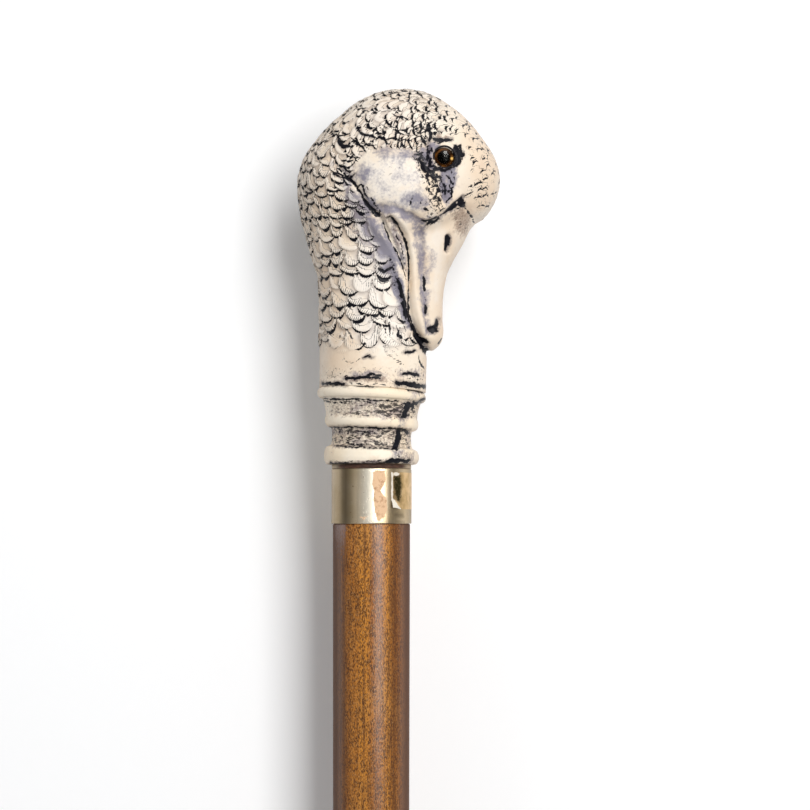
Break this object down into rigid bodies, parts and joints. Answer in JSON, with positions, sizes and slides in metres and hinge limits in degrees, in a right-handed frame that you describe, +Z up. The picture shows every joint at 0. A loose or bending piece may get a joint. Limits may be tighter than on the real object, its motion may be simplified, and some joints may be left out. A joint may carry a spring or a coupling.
{
  "type": "walking stick",
  "caption": "Walking stick with a cast duck head handle, glass eyes, turned rings, brass collar with a foil label, tapered wooden shaft and a ribbed rubber ferrule.",
  "frame": {"origin": "centre of the ferrule's tread, on the shaft axis, at the height of the floor", "axes": "+Z up the shaft, +X the way the bill and forehead point, +Y the bird's left flank turned away from the camera"},
  "size_m": [0.0527, 0.0434, 0.92],
  "materials": {
    "cast_resin": "satin ivory coloured casting with dark ink rubbed into the hollows",
    "eye_glass": "polished",
    "eye_paint": "amber ring with a black pupil",
    "plated_steel": "zinc plated",
    "seat_fibre": "dark brown stained",
    "collar_brass": "pale, lightly brushed round",
    "insert_brass": "machined",
    "label_foil": "gold foil, plain",
    "varnished_wood": "satin varnish, fine dark grain along the length",
    "ferrule_rubber": "matte moulded"
  },
  "bodies": {
    "shaft_body": {"shaft": "varnished_wood", "shaft_insert": "insert_brass", "collar": "collar_brass", "collar_label": "label_foil", "ferrule": "ferrule_rubber", "ferrule_disc": "plated_steel"},
    "seat_body": {"seat_washer": "seat_fibre"},
    "handle_body": {"handle": "cast_resin", "handle_stud": "plated_steel", "eye_iris_left": "eye_paint", "eye_iris_right": "eye_paint", "eye_lens_left": "eye_glass", "eye_lens_right": "eye_glass"}
  },
  "joints": [
    {"name": "handle_lift", "type": "slide", "parent": "shaft_body", "child": "seat_body", "axis": [0, 0, 1], "range_m": [0, 0.0182]},
    {"name": "handle_turn", "type": "hinge", "parent": "seat_body", "child": "handle_body", "pos_m": [0, 0, 0.822], "axis": [0, 0, 1], "range_deg": [0, 4680]}
  ],
  "couplings": [
    {"joint": "handle_lift", "follows": "handle_turn", "m_per_rad": 0.00022282}
  ]
}
